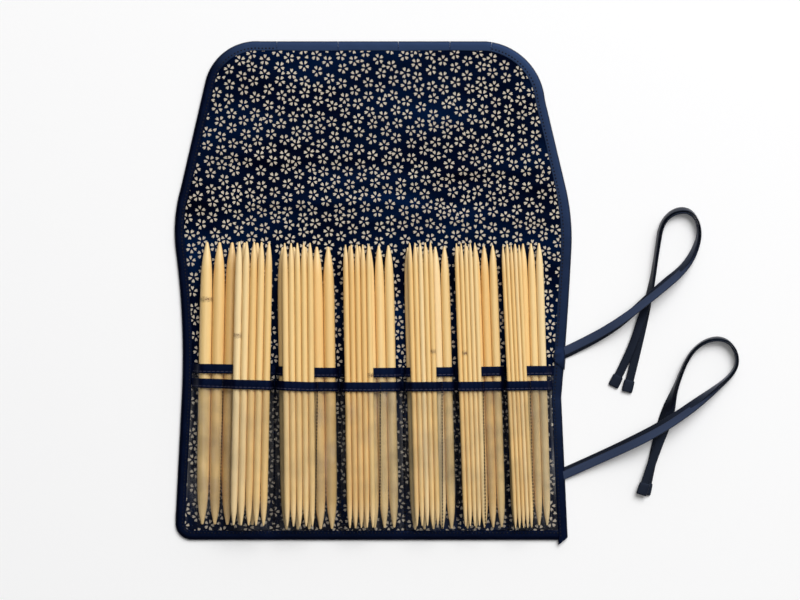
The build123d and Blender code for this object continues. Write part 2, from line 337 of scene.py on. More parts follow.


# Plain woven tape: fine cross threads, with paler worn areas. Where the piece's own value says so, a
# lighter colour is mixed in as painted sheen, the light on its satin side.
def tapeMaterial(name, dark, light, shine, level, rough, satin=None):
    material, place = newMaterial(name)
    fine = useGroup(weave, Vector=place, Threads=9000.0)
    worn = useGroup(wearAndSheen, Vector=place, Scale=60.0)[0]
    colour = mixColour(worn, dark, light)
    if satin:
        # painted sheen: the piece's own value mixes in the lighter colour
        colour = mixColour(ownValue("satin"), colour, satin)
    closeMaterial({
        "Base Color": colour, "Normal": bump(fine["Height"], 0.3, 0.00012),
        "Roughness": maths("MULTIPLY_ADD", fine["Slub"], 0.2, rough - 0.1),
        "Specular Tint": shine, "Specular IOR Level": level,
    })
    return material


# The third colour of the binding and the tie tapes is a painted sheen colour
tapeLooks = {
    "bindingTape": {
        "dark": (0.0002, 0.0002, 0.002, 1), "light": (0.0006, 0.0012, 0.007, 1),
        "shine": (0.16, 0.32, 1.0, 1), "level": 0.2, "rough": 0.42, "satin": (0.026, 0.045, 0.096, 1),
    },
    "hemTape": {
        "dark": (0.0006, 0.0008, 0.007, 1), "light": (0.0015, 0.004, 0.020, 1),
        "shine": (0.2, 0.4, 1.0, 1), "level": 0.13, "rough": 0.45,
    },
    "tieTape": {
        "dark": (0.0025, 0.0028, 0.0045, 1), "light": (0.004, 0.0045, 0.008, 1),
        "shine": (0.5, 0.66, 1.0, 1), "level": 0.25, "rough": 0.42, "satin": (0.030, 0.042, 0.082, 1),
    },
}
bindingTape, hemTape, tieTape = (tapeMaterial(name, **look) for name, look in tapeLooks.items())


# Sewing thread: fine noise for its twist, in colour and in height
def threadMaterial(name, dark, light):
    material, place = newMaterial(name)
    twist = noise(place, 2500.0)
    closeMaterial({"Base Color": mixColour(twist, dark, light), "Roughness": 0.6,
                   "Specular IOR Level": 0.2, "Normal": bump(twist, 0.5, 0.0001)})
    return material


stitchThread = threadMaterial("stitchThread", (0.0004, 0.0005, 0.003, 1), (0.001, 0.0012, 0.006, 1))
hemThread = threadMaterial("hemThread", (0.024, 0.025, 0.052, 1), (0.085, 0.086, 0.14, 1))

# Clear film: mostly see-through, hazier in patches drawn out along Y and where it is laid on the
# cloth. The grey there is partly the film's own haze and partly painted reflection, streaks of light
# off the film.
vinylLook = {
    "film": (0.06, 0.06, 0.065, 1), "hazeAndReflection": (0.36, 0.35, 0.345, 1), "least": 0.033, "most": 0.095,
    "laidHazeAndReflection": 0.5, "laidMore": 0.6,
}
clearVinyl, place = newMaterial("clearVinyl")
ripple = noise(mapped(place, Scale=(1, 0.16, 1)), 330.0)
laid = ownValue("laid")
cover = ranged(noise(place, 65.0), 0.34, 0.68, vinylLook["least"], vinylLook["most"])
# grey mixed in: partly the film's haze, partly painted reflection streaks
hazeAndReflection = maths("MAXIMUM", ranged(ripple, 0.52, 0.75), times(laid, vinylLook["laidHazeAndReflection"]))
more = maths("MULTIPLY_ADD", laid, vinylLook["laidMore"], 1.0)
closeMaterial({
    "Base Color": mixColour(hazeAndReflection, vinylLook["film"], vinylLook["hazeAndReflection"]),
    "Alpha": times(cover, more), "Normal": bump(ripple, 0.45, 0.0005),
    "Roughness": 0.16, "IOR": 1.5, "Specular IOR Level": 0.7,
})

# Bamboo: a tone for each needle, streaks drawn out along it, paler sanded points, and a
# joint, where there is one, as a faint band with dark specks
bambooLook = {
    "pale": (0.90, 0.70, 0.38, 1), "straw": (0.88, 0.62, 0.265, 1), "honey": (0.80, 0.48, 0.16, 1),
    "fibre": (0.56, 0.29, 0.085, 1), "joint": (0.16, 0.07, 0.03, 1), "sanded": (0.90, 0.69, 0.38, 1),
}
bamboo, place = newMaterial("bamboo")
tone, along, jointAt = (ownValue(label) for label in ("tone", "along", "jointAt"))
drawn = mapped(place, Scale=(1, 0.02, 1))
fibres = noise(drawn, 2600.0, 4.0, 0.6)
bands = noise(drawn, 420.0)
speck = noise(place, 1500.0, 1.0)
base = node("ValToRGB", {0: tone})
ramp = base.color_ramp
ramp.elements[0].color = bambooLook["pale"]
ramp.elements[1].color = bambooLook["honey"]
ramp.elements.new(0.45).color = bambooLook["straw"]
fromEnd = maths("MINIMUM", along, maths("SUBTRACT", 150.0, along))
fromJoint = maths("ABSOLUTE", maths("SUBTRACT", along, jointAt))
band = ranged(fromJoint, 0.2, 1.6, 0.45, 0.0)
dark = times(ranged(fromJoint, 0.3, 2.0, 1.0, 0.0), ranged(speck, 0.52, 0.6))
colour = base.outputs[0]
for share, added in (
    (ranged(fibres, 0.5, 0.8, 0.0, 0.4), "fibre"),
    (ranged(bands, 0.35, 0.75, 0.0, 0.3), "honey"),
    (ranged(fromEnd, 5.0, 15.0, 0.5, 0.0), "sanded"),
    (maths("MAXIMUM", band, dark), "joint"),
):
    colour = mixColour(share, colour, bambooLook[added])
closeMaterial({
    "Base Color": colour, "Normal": bump(fibres, 0.15, 0.0001),
    "Roughness": maths("MULTIPLY_ADD", fibres, 0.2, 0.32),
    "Coat Weight": 0.2, "Coat Roughness": 0.25, "Specular IOR Level": 0.35,
})
print("materials made")

# Ties: flat tapes along routes in millimetres. A tape turns about its own line by the degrees
# in its table, at shares of its length: flat at first, on edge round the far side of the
# loop, and flat again with its other side up.
ties = {
    "width": 4.5, "thickness": 0.7, "tab": (5.6, 6.4, 1.5), "tabCorner": 0.55, "tabPaintedSheen": 0.1,
    # the last pair are insets over which the tape's edges are painted dark as shade
    "startX": 99.5, "clearance": 0.12, "paintedEdgeShade": (0.3, 0.05),
    "upper": {
        "near": [
            (97.6, -33.2, 1.1), (114.0, -25.6, 3.0), (132.0, -14.8, 8.8), (153.0, 1.6, 9.7),
            (167.2, 13.4, 4.8), (174.0, 27.0, 0.8), (174.0, 37.5, 0.8), (168.6, 44.6, 0.8),
            (159.6, 44.0, 0.8), (152.6, 37.0, 0.8), (150.6, 22.2, 0.8), (147.2, -0.6, 0.8),
            (142.0, -25.0, 0.8), (136.6, -46.8, 0.85),
        ],
        "far": [
            (97.0, -35.2, 0.3), (114.0, -27.4, 1.6), (132.0, -16.0, 7.2), (152.2, 3.4, 8.0),
            (166.4, 14.4, 3.0), (172.8, 27.6, 2.4), (172.8, 36.9, 2.4), (168.0, 43.2, 2.4),
            (160.0, 42.6, 2.4), (153.9, 36.4, 2.4), (151.8, 23.0, 2.4), (148.2, 1.0, 2.4),
            (143.0, -13.0, 2.4), (138.2, -29.2, 1.7), (130.6, -44.4, 0.85),
        ],
        "turnAt": [0, 0.14, 0.235, 0.33, 0.412, 0.465, 0.508, 0.551, 0.6, 0.69, 0.75, 0.8, 0.86, 1],
        "turn": [0, 4, 30, 40, 60, 84, 98, 118, 100, 98, 108, 140, 170, 180],
    },
    "lower": {
        "near": [
            (97.0, -99.4, 1.1), (119.0, -89.4, 3.6), (144.9, -77.2, 9.7), (160.5, -68.0, 9.7),
            (178.6, -55.2, 5.2), (193.6, -42.5, 0.85), (194.4, -31.8, 0.85), (188.2, -24.2, 0.85),
            (177.8, -24.2, 0.85), (168.0, -31.8, 0.85), (161.0, -48.0, 0.85), (153.2, -70.2, 0.85),
            (149.4, -86.0, 0.85), (146.2, -101.4, 0.85),
        ],
        "far": [
            (96.5, -97.8, 0.3), (118.6, -88.0, 2.1), (144.0, -75.2, 7.8), (159.4, -66.2, 7.8),
            (177.6, -53.8, 3.4), (192.6, -42.0, 2.65), (193.4, -32.4, 2.65), (187.7, -25.2, 2.65),
            (178.2, -25.2, 2.65), (169.0, -32.2, 2.65), (162.0, -49.0, 2.65), (157.4, -67.6, 2.65),
            (149.8, -85.8, 2.65), (144.6, -101.6, 2.65),
        ],
        "turnAt": [0, 0.18, 0.27, 0.36, 0.44, 0.53, 0.595, 0.65, 0.72, 0.764, 0.79, 0.81, 0.84, 1],
        "turn": [0, 6, 34, 44, 82, 90, 104, 92, 91, 97, 120, 146, 170, 180],
    },
    # how much painted sheen, the light on the tape's satin side, shows at some shares of the length
    "satinAt": [0.0, 0.22, 0.36, 0.46, 0.58, 0.72, 0.85, 1.0],
    "nearPaintedSheen": [1.0, 1.0, 0.85, 0.35, 0.12, 0.05, 0.0, 0.0],
    "farPaintedSheen": [0.0, 0.0, 0.2, 0.6, 0.35, 0.25, 0.08, 0.05],
}


# The smooth line of a route: a second-degree NURBS spline through its ends
def routeLine(points):
    curve = bpy.data.curves.new("route", "CURVE")
    curve.dimensions = "3D"
    spline = curve.splines.new("NURBS")
    spline.points.add(len(points) - 1)
    for target, point in zip(spline.points, np.array(points) * mm):
        target.co = (*point, 1)
    spline.order_u = 3
    spline.use_endpoint_u = True
    curve.resolution_u = 14
    holder = addObject("route", curve)
    bpy.context.view_layer.update()
    seen = bpy.data.meshes.new_from_object(holder)
    line = pointsOf(seen) / mm
    bpy.data.objects.remove(holder)
    bpy.data.meshes.remove(seen)
    return line


# Points round a rectangle whose corners are quarter circles
def roundedRing(width, thickness, corner=0.3, steps=4):
    corner = min(corner, thickness / 2 - 0.01)
    ring = []
    for sx, sy, first in ((1, 1, 0), (-1, 1, 90), (-1, -1, 180), (1, -1, 270)):
        angles = np.radians(np.linspace(first, first + 90, steps))
        ring.append(np.stack([sx * (width / 2 - corner) + corner * np.cos(angles),
                              sy * (thickness / 2 - corner) + corner * np.sin(angles)], -1))
    return np.concatenate(ring)


def lengthsAlong(line):
    return np.r_[0, np.cumsum(np.linalg.norm(np.diff(line, axis=0), axis=1))]


tapeRing = roundedRing(ties["width"], ties["thickness"])


# Carries the flat section along a line, turned about it as the table says, and raised where
# its lower edge would pass the ground
def tapeAlong(line, turnAt, turns):
    ahead = unitRows(np.gradient(line, axis=0))
    steps = lengthsAlong(line)
    share = steps / steps[-1]
    turn = np.radians(np.interp(share, turnAt, turns))
    for _ in range(8):
        turn[1:-1] = (turn[:-2] + 2 * turn[1:-1] + turn[2:]) / 4
    level = unitRows(np.cross(ahead, (0, 0, 1)))
    up = np.cross(level, ahead)
    wide = level * np.cos(turn)[:, None] + up * np.sin(turn)[:, None]
    thick = np.cross(wide, ahead)
    half = ties["width"] / 2 * np.abs(np.sin(turn)) + ties["thickness"] / 2 * np.abs(np.cos(turn))
    middle = line.copy()
    middle[:, 2] = np.maximum(middle[:, 2], half + ties["clearance"])
    rings = middle[:, None] + wide[:, None] * tapeRing[None, :, :1]
    rings = rings + thick[:, None] * tapeRing[None, :, 1:]
    return rings, share, middle[-1], ahead[-1], wide[-1], thick[-1]


# The folded end: a soft-cornered block that swells a little at its middle
def tabAt(end, ahead, wide, thick):
    width, length, height = ties["tab"]
    along = np.array([0, 0.04, 0.11, 0.31, 0.53, 0.78, 0.92, 0.975, 1.0]) * length
    swell = np.array([0.9, 0.97, 1, 1.02, 1.03, 1.02, 1, 0.95, 0.86])
    ring = roundedRing(width, height, ties["tabCorner"])
    section = wide * ring[:, :1] + thick * ring[:, 1:]
    return end + ahead * along[:, None, None] + section * swell[:, None, None]


# Painted shade: the sheen fades out towards both edges of each tape, which stay dark
darkFrom, darkTo = (ties["width"] / 2 - inset for inset in ties["paintedEdgeShade"])
paintedEdgeShade = smoothStep(darkFrom, darkTo, np.abs(tapeRing[:, 0]))
for tie in ("upper", "lower"):
    for side in ("near", "far"):
        line = routeLine(ties[tie][side])
        line = line[line[:, 0] > ties["startX"]]
        rings, share, *endFrame = tapeAlong(line, ties[tie]["turnAt"], ties[tie]["turn"])
        # painted sheen along the tape by share of its length; each tab gets a small even amount
        satin = np.interp(share, ties["satinAt"], ties[side + "PaintedSheen"])
        tape = finishMesh(f"{tie}Tape_{side}", *tube(rings), tieTape,
                          satin=satin[:, None] * (1 - paintedEdgeShade))
        points, faces = tube(tabAt(*endFrame))
        tab = finishMesh(f"{tie}Tab_{side}", points, faces, tieTape,
                         satin=np.full(len(points), ties["tabPaintedSheen"]))
        for piece, cadNode in ((tape, f"{tie}_tie_{side}_tail"), (tab, f"{tie}_tie_ends")):
            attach(piece, "panel_6")
            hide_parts(cadNode)
print("ties made")

# Outline of the case, turning points as in the solids; blendY is a span of y, in metres, about the
# flap's fold
case = {
    "topY": 133.8, "bottomY": -131.8, "topX": 60.0, "thickness": 1.8,
    "leftShoulder": (-89.5, 112.0), "rightShoulder": (91.5, 102.7),
    "leftBulge": 6.9, "rightBulge": 8.1,
    "leftHip": (-102.4, 56.0), "rightHip": (102.6, 56.0),
    "leftFold": (-105.1, 22.0), "rightFold": (105.6, 22.0),
    "leftWaist": (-102.0, -56.0), "rightWaist": (100.2, -56.0),
    "leftFoot": (-105.5, -125.4), "rightFoot": (103.6, -129.6), "footRadius": 9.0,
    "foldY": 30.7, "blendY": (0.0235, 0.0385),
    "seamX": [-52.3, -17.8, 15.9, 44.1, 69.3], "seamLean": [-0.3, 0.3, 0.8, 1.0, 1.9],
    "seamY": -45.5,
}


# Points on the arc from a to b whose middle stands off the chord by bulge
def bulgedArc(a, b, bulge, count=24):
    a, b = np.array(a, float), np.array(b, float)
    chord = np.linalg.norm(b - a)
    radius = (chord**2 / 4 + bulge**2) / (2 * abs(bulge))
    across = np.array([-(b - a)[1], (b - a)[0]]) / chord * np.sign(bulge)
    centre = (a + b) / 2 + across * (abs(bulge) - radius)
    start, end = (np.arctan2(*(p - centre)[::-1]) for p in (a, b))
    sweep = (end - start + np.pi) % (2 * np.pi) - np.pi
    angles = start + sweep * np.linspace(0, 1, count)
    return centre + radius * np.stack([np.cos(angles), np.sin(angles)], -1)


# Points on the arc that leaves a along heading and ends at b: half the angle between
# heading and chord gives its bulge
def tangentArc(a, b, heading, count=24):
    a, b, heading = (np.array(v, float) for v in (a, b, heading))
    chord = b - a
    heading = heading / np.linalg.norm(heading)
    side = heading[0] * chord[1] - heading[1] * chord[0]
    bulge = np.linalg.norm(chord) / 2 * np.tan(np.arctan2(side, heading @ chord) / 2)
    return bulgedArc(a, b, -bulge, count)


# A straight run between two named points, then an arc that follows on to each further one
def runAndArcs(count, *names):
    points = [case[name] for name in names]
    run = np.linspace(*points[:2], count)
    for start, end in zip(points[1:], points[2:]):
        run = np.concatenate([run, tangentArc(start, end, run[-1] - run[-2])])
    return run


leftSide = np.concatenate([
    runAndArcs(30, "leftFoot", "leftWaist", "leftFold", "leftHip"),
    runAndArcs(20, "leftHip", "leftShoulder"),
    bulgedArc(case["leftShoulder"], (-case["topX"], case["topY"]), case["leftBulge"]),
])
rightSide = np.concatenate([
    bulgedArc((case["topX"], case["topY"]), case["rightShoulder"], case["rightBulge"]),
    runAndArcs(20, "rightShoulder", "rightHip", "rightFold", "rightWaist"),
    runAndArcs(30, "rightWaist", "rightFoot"),
])


# The same line with points a fixed distance apart
def evenly(points, spacing=1.1):
    points = points[np.r_[True, np.linalg.norm(np.diff(points, axis=0), axis=1) > 1e-6]]
    steps = lengthsAlong(points)
    wanted = np.linspace(0, steps[-1], max(int(steps[-1] / spacing), 2) + 1)
    return np.stack([np.interp(wanted, steps, points[:, i]) for i in range(points.shape[1])], -1)


def seamAt(seam, y):
    return case["seamX"][seam] - (y - case["seamY"]) * np.tan(np.radians(case["seamLean"][seam]))


def sideAt(side, y, inset=0.0):
    order = np.argsort(side[:, 1])
    return np.interp(y, side[order, 1], side[order, 0]) - inset * np.sign(side[0, 0])


# Left and right x of a column of cloth at y
def columnEdges(column, y, inset):
    low, high = sideAt(leftSide, y, inset), sideAt(rightSide, y, inset)
    if column > 0:
        low = np.maximum(low, seamAt(column - 1, y))
    if column < 5:
        high = np.minimum(high, seamAt(column, y))
    return low, high


# Distance from the nearest of the two sides and the top
def marginAt(x, y):
    margin = np.minimum(x - sideAt(leftSide, y), sideAt(rightSide, y) - x)
    return np.minimum(margin, case["topY"] - y)


# Cloth: one piece for each column, from the bottom edge to the flap's top, thinner between
# the two margins, inside the binding. Each wrinkle is (middle y, half width, height, slope
# against x, wander).
cloth = {
    "step": 1.4, "inset": 3.0, "margins": (4.2, 5.6), "tongueLow": 0.5, "tongueHigh": 1.4,
    "pucker": 0.12, "lift": 0.1,
    "wrinkles": [
        (37.5, 2.6, 0.75, 0.02, 1.5), (45.0, 3.6, 1.45, -0.05, 3.0), (53.5, 3.0, 0.9, 0.05, 2.5),
        (61.0, 3.8, 1.4, 0.03, 3.5), (70.5, 3.6, 0.9, -0.07, 3.0), (81.0, 5.0, 1.0, -0.05, 4.0),
        (97.0, 8.0, 0.8, 0.05, 6.0), (114.0, 7.0, 0.6, -0.04, 4.0),
    ],
}


# Each wrinkle is a ridge height * exp(-((y - line) / half)^2) whose line is a sum of sines of
# x and whose height comes and goes along it; near the binding the cloth puckers
def clothLift(x, y):
    lift = np.zeros_like(x)
    for i, (middle, half, height, slope, wander) in enumerate(cloth["wrinkles"]):
        line = middle + slope * x + wander * np.sin(x / 31.0 + 1.7 * i) + 0.9 * np.sin(x / 9.0 + i)
        strength = 0.55 + 0.45 * np.sin(x / 38.0 + 2.3 * i)
        lift += height * strength * np.exp(-(((y - line) / half) ** 2))
    flap = smoothStep(case["foldY"] - 2, case["foldY"] + 6, y)
    margin = marginAt(x, y)
    lift = lift * flap * smoothStep(3.5, 15, margin)
    waves = np.sin(y / 2.6 + 0.8 * np.sin(y / 9))
    pucker = cloth["pucker"] * waves * np.exp(-((margin - 6.5) / 2.5) ** 2)
    return np.maximum(lift + pucker + cloth["lift"], 0.0)


for column in columns:
    topY = case["topY"] - cloth["inset"]
    if column == 5:  # its left seam meets the right side below the top
        trial = np.linspace(100, topY, 400)
        topY = trial[sideAt(rightSide, trial, cloth["inset"]) > seamAt(4, trial)][-1]
    bottomY = case["bottomY"] + cloth["inset"]
    rows = np.linspace(bottomY, topY, int((topY - bottomY) / cloth["step"]) + 1)
    low, high = columnEdges(column, rows, cloth["inset"])
    spans = high - low
    x = low[:, None] + spans[:, None] * np.linspace(0, 1, int(spans.max() / cloth["step"]) + 2)
    y = np.broadcast_to(rows[:, None], x.shape)
    full = smoothStep(*cloth["margins"], np.minimum(marginAt(x, y), y - case["bottomY"]))
    lift = clothLift(x, y)
    top = lift * full + cloth["tongueHigh"] + (case["thickness"] - cloth["tongueHigh"]) * full
    bottom = lift * full + cloth["tongueLow"] * (1 - full)
    skin = shell(x, y, top, np.maximum(bottom - cloth["lift"], 0.0))
    piece = columnPiece("cloth", skin, printedCloth, column, "bends", "printed_cloth",
                        "cloth_panel", "cloth_flap")
print("cloth made")

# Binding: a tape folded over the edge, fuller at its outer bend. The section is a quarter
# ellipse outside and a shallow arc inside, with a slot for the cloth.
binding = {
    "width": 4.7, "bendZ": 0.95, "topZ": 2.25, "innerZ": 2.1, "slotLow": 0.45, "slotHigh": 1.5,
    "slotDepth": 1.2, "stitchInset": 0.9, "stitchRise": 0.12,
    # the overlap on the right side, where the upper tape ends on the lower one
    "overlapY": (-29.0, -35.0), "upperEndY": -41.5, "lowerStartY": -32.0,
    "overlapWide": 1.5, "overlapRise": 0.75, "overlapOut": 0.6, "rightWide": 0.7,
    "upperRise": 0.12, "upperShear": -5.4, "lowerShear": 3.6,
    # the round left corner ends at cornerTop; at the right one the side's end stands up
    "cornerTop": -118.0, "footEndX": 99.0, "endRise": 0.3, "endRiseY": (-122.0, -130.0),
    # extra width; the side the light comes from, where the binding is painted lighter as sheen, and
    # where this fades out down the right side
    "proud": 0.45, "litSide": (0.45, 0.89), "litY": (-125.0, 10.0),
}


# Distance in from the outer edge as a share of the width, and height
def bindingSection():
    outer = np.array([0.0, 0.03, 0.09, 0.18, 0.3, 0.42])
    inner = np.array([0.55, 0.68, 0.8, 0.9, 0.965])
    rise = binding["topZ"] - binding["bendZ"]
    outerZ = binding["bendZ"] + rise * np.sqrt(1 - ((0.42 - outer) / 0.42) ** 2)
    drop = binding["topZ"] - binding["innerZ"]
    innerZ = binding["topZ"] - drop * ((inner - 0.42) / 0.58) ** 2
    depth = binding["slotDepth"] / binding["width"]
    upper = np.stack([np.r_[outer, inner], np.r_[outerZ, innerZ]], -1)[::-1]
    return np.array([
        (1.0, binding["innerZ"] - 0.3), *upper, (0.02, 0.5), (0.1, 0.14), (0.26, 0.0),
        (0.85, 0.0), (0.98, 0.08), (1.0, 0.2), (0.98, binding["slotLow"]),
        (depth + 0.04, binding["slotLow"]), (depth, 0.7), (depth, 1.25),
        (depth + 0.04, binding["slotHigh"]), (0.98, binding["slotHigh"]),
    ])


# Carries the folded section along the edge, with its inner side to the right of the path.
# Puckers are sines of x + y, so neighbouring pieces meet; shear slides the inner side along
# the tape at its end.
def bindingStrip(path, wide=0.0, rise=0.0, out=0.0, shear=0.0):
    ahead = unitRows(np.gradient(path, axis=0))
    normal = np.stack([ahead[:, 1], -ahead[:, 0]], -1)
    steps, phase, rise = lengthsAlong(path), path.sum(1), np.reshape(rise, (-1, 1))
    width = binding["width"] + binding["proud"] + wide
    width = width + 0.10 * np.sin(phase / 7.3) + 0.06 * np.sin(phase / 2.9)
    section = bindingSection()
    inner, level = section[:, 0], section[:, 1]
    over = level > 1.6
    pucker = 0.11 * np.sin(phase / 1.9 + 1.2 * np.sin(phase / 11)) * (0.6 + 0.4 * np.sin(phase / 17))
    crease = 0.30 * np.sin((path[:, 1, None] + 9.0 * inner) / 1.5) * rise
    height = level + over * ((pucker[:, None] + crease) * inner * (1 - inner) * 3 + rise)
    slide = shear * np.exp(-(steps[-1] - steps) / 6)
    offset = inner * width[:, None] - np.reshape(out, (-1, 1))
    plan = (path[:, None] + normal[:, None] * offset[..., None]
            + ahead[:, None] * (slide[:, None] * inner)[..., None])
    # Painted sheen: the binding is painted lighter where its edge faces the light, fading out down
    # the right side
    lit = smoothStep(-0.1, 1.0, -normal @ np.array(binding["litSide"]))
    lit = lit * smoothStep(*binding["litY"], path[:, 1])
    satin = lit[:, None] * smoothStep(0.0, 0.16, inner)
    return np.concatenate([plan, height[..., None]], -1), normal, satin


# Makes a piece of binding and returns the line its stitches follow
def bindingPiece(name, path, column, body, *replaced, **shape):
    rings, normal, satin = bindingStrip(path, **shape)
    columnPiece(name, tube(rings[:, ::-1]), bindingTape, column, body, "binding_tape", *replaced,
                sharp=60, satin=satin[:, ::-1])
    inset = binding["width"] - binding["stitchInset"] + np.reshape(shape.get("wide", 0.0), (-1, 1))
    height = np.full(len(path), binding["innerZ"] + binding["stitchRise"]) + shape.get("rise", 0.0)
    return np.concatenate([path + normal * inset, height[:, None]], -1)


def bottomAt(seam):
    return seamAt(seam, case["bottomY"]), case["bottomY"]


edgeRuns, footRuns = {}, {}
corner = np.array([case["leftFoot"][0], case["bottomY"]])
upward = np.array([0.3, binding["cornerTop"] - case["bottomY"]])
after = corner + upward / np.linalg.norm(upward) * case["footRadius"]
leftPath = evenly(np.concatenate([
    [bottomAt(0)], tangentArc(corner + (case["footRadius"], 0), after, (-1, 0), 12),
    [corner + upward], leftSide[leftSide[:, 1] > binding["cornerTop"] + 1],
    [(seamAt(0, case["topY"]), case["topY"])],
]))
edgeRuns[0] = bindingPiece("binding", leftPath, 0, "bends", "panel_binding", "flap_binding")
evenTop = evenly(np.concatenate([[(-case["topX"], case["topY"])], rightSide]), 0.2)
for column in range(1, 5):
    foot = evenly(np.array([bottomAt(column), bottomAt(column - 1)]))
    footRuns[column] = [bindingPiece("bindingFoot", foot, column, "panel", "panel_binding")]
    ends = [seamAt(s, case["topY"]) for s in (column - 1, column)]
    above = evenTop[(evenTop[:, 0] >= ends[0]) & (evenTop[:, 0] <= ends[1]) & (evenTop[:, 1] > 100)]
    bindingPiece("bindingTop", evenly(above), column, "flap", "flap_binding")
upperEdge = evenly(evenTop[(evenTop[:, 0] > ends[1]) & (evenTop[:, 1] > binding["upperEndY"])])
overlap = 1 - smoothStep(*binding["overlapY"][::-1], upperEdge[:, 1])
widening = binding["rightWide"] * smoothStep(100, 30, upperEdge[:, 1])
edgeRuns[5] = bindingPiece(
    "binding", upperEdge, 5, "bends", "panel_binding", "flap_binding",
    wide=np.maximum(overlap * binding["overlapWide"], widening),
    rise=binding["upperRise"] + overlap * binding["overlapRise"],
    out=overlap * binding["overlapOut"], shear=binding["upperShear"],
)
lowerEdge = evenly(evenTop[evenTop[:, 1] < binding["lowerStartY"]])
lowerEdge = np.concatenate([lowerEdge, lowerEdge[-1:] + [(0.05, -0.7)]])
endRise = binding["endRise"] * smoothStep(*binding["endRiseY"], lowerEdge[:, 1])
foot = evenly(np.array([(binding["footEndX"], case["bottomY"]), bottomAt(4)]))
footRuns[5] = [
    bindingPiece("bindingSide", lowerEdge, 5, "panel", rise=endRise, shear=binding["lowerShear"]),
    bindingPiece("bindingFoot", foot, 5, "panel"),
]
print("binding made")

# Needles: twelve sets of five. A needle's diameter grows from its tip by
# D - (D - tip) exp(-(s / reach)^1.15), closed by a small elliptic cap.
needles = {
    "length": 150.0, "gap": 0.25, "spacing": 0.04, "rowY": -30.6, "endY": -126.2,
    "taperBase": 3.5, "taperPerDiameter": 1.65, "reachShare": 0.62, "tipShare": 0.24,
    "thick": {
        "diameter": [6.6, 6.0, 5.1, 4.8, 4.5, 4.2], "x": [-75.8, -35.2, -1.0, 29.6, 56.2, 81.3],
        "rise": [2.8, 0.4, 1.0, 0.4, 1.0, 2.2], "lean": [-1.0, 0.8, 1.2, 1.5, 1.9, 1.7],
    },
    "thin": {
        "diameter": [3.9, 3.3, 3.0, 2.7, 2.4, 2.1], "x": [-63.9, -39.5, -7.6, 26.4, 50.9, 75.6],
        "rise": [3.0, 2.4, 1.6, 2.6, 2.4, 1.2], "lean": [-1.15, 0.5, 0.9, 1.5, 1.9, 2.6],
    },
    # the tone's mean and spread; how often and where a needle has a joint, and a plain one
    "tone": (0.45, 0.27), "jointChance": 0.12, "jointBetween": (20, 75), "plainJoint": 30.5,
}
pockets = {
    "sheet": 0.25, "fit": 0.05, "footInset": 1.6, "noseLength": 12.0, "edgeInset": 0.55,
    "hemWidth": 5.0, "hem": 0.4, "endWall": 0.8, "dip": 0.1,
    "mouthX": [-98.0, -78.0, -60.0, -35.0, -1.0, 30.0, 57.0, 85.0],
    "backMouthY": [-37.7, -38.0, -38.6, -39.8, -40.0, -39.7, -39.4, -38.95],
    "frontMouthY": [-45.3, -45.9, -46.3, -47.3, -47.5, -47.3, -47.2, -46.85],
    "tickX": [-79.3, -29.4, 3.9, 36.6, 58.4, 83.2],
    "tickFootX": [-81.4, -30.5, 3.6, 36.9, 59.6, 85.4], "tickY": (-126.2, -46.3),
}


class NeedleRow:
    def __init__(self, kind, column, lowZ):
        facts = needles[kind]
        self.d = facts["diameter"][column]
        self.x, self.lean = facts["x"][column], np.radians(facts["lean"][column])
        self.top = needles["endY"] + facts["rise"][column] + needles["length"]
        self.z = lowZ + self.d / 2
        self.pitch = self.d + needles["spacing"]
        self.reach = 2 * self.pitch

    def middle(self, y):
        return self.x - (y - needles["rowY"]) * np.tan(self.lean)


backRows = [NeedleRow("thick", c, case["thickness"] + needles["gap"]) for c in columns]
stack = needles["gap"] * 2 + pockets["sheet"] + pockets["fit"] + pockets["hem"]
frontRows = [NeedleRow("thin", c, backRows[c].z + backRows[c].d / 2 + stack) for c in columns]
chance = np.random.default_rng(12)


def needleRings(row, number):
    taper = needles["taperBase"] + needles["taperPerDiameter"] * row.d
    tip = needles["tipShare"] * row.d
    cap = np.linspace(0.06, np.pi / 2, 6)
    capAlong = 0.45 * tip * (1 - np.cos(cap))
    flank = np.linspace(0, 1, 15)[1:] ** 1.4 * taper * 1.35
    grown = 1 - np.exp(-((flank / (needles["reachShare"] * taper)) ** 1.15))
    half = np.r_[capAlong, 0.45 * tip + flank]
    radii = np.r_[tip / 2 * np.sin(cap), (tip + (row.d - tip) * grown) / 2]
    between = np.linspace(half[-1], needles["length"] - half[-1], 12)[1:-1]
    along = np.r_[half, between, needles["length"] - half[::-1]]
    size = np.r_[radii, np.full(len(between), row.d / 2), radii[::-1]]
    heading = np.array([np.sin(row.lean), -np.cos(row.lean), 0])
    across = np.array([np.cos(row.lean), np.sin(row.lean), 0])
    start = np.array([row.middle(row.top), row.top, row.z])
    start = start + across * (number * row.pitch - row.reach)
    angles = np.linspace(0, 2 * np.pi, 25)[:-1]
    circle = across * np.cos(angles)[:, None] + np.array([0, 0, 1]) * np.sin(angles)[:, None]
    return start + heading * along[:, None, None] + circle * size[:, None, None], along


def needlePiece(kind, column, row):
    skins, values = [], []
    for number in range(5):
        rings, along = needleRings(row, number)
        jointAt = -50.0
        if (kind, column, number) == ("thick", 0, 0):
            jointAt = needles["plainJoint"]
        elif chance.random() < needles["jointChance"]:
            jointAt = chance.uniform(*needles["jointBetween"])
        tone = np.clip(chance.normal(*needles["tone"]), 0, 1)
        values.append(np.broadcast_arrays(tone, np.repeat(along, rings.shape[1]), jointAt))
        skins.append(tube(rings[:, ::-1]))
    tone, along, jointAt = np.concatenate(values, axis=1)
    columnPiece(f"{kind}Needles", together(skins), bamboo, column, f"{kind}_set", "bamboo",
                f"{kind}_needles", sharp=70, tone=tone, along=along, jointAt=jointAt)


for column in columns:
    needlePiece("thick", column, backRows[column])
    needlePiece("thin", column, frontRows[column])
print("needles made")


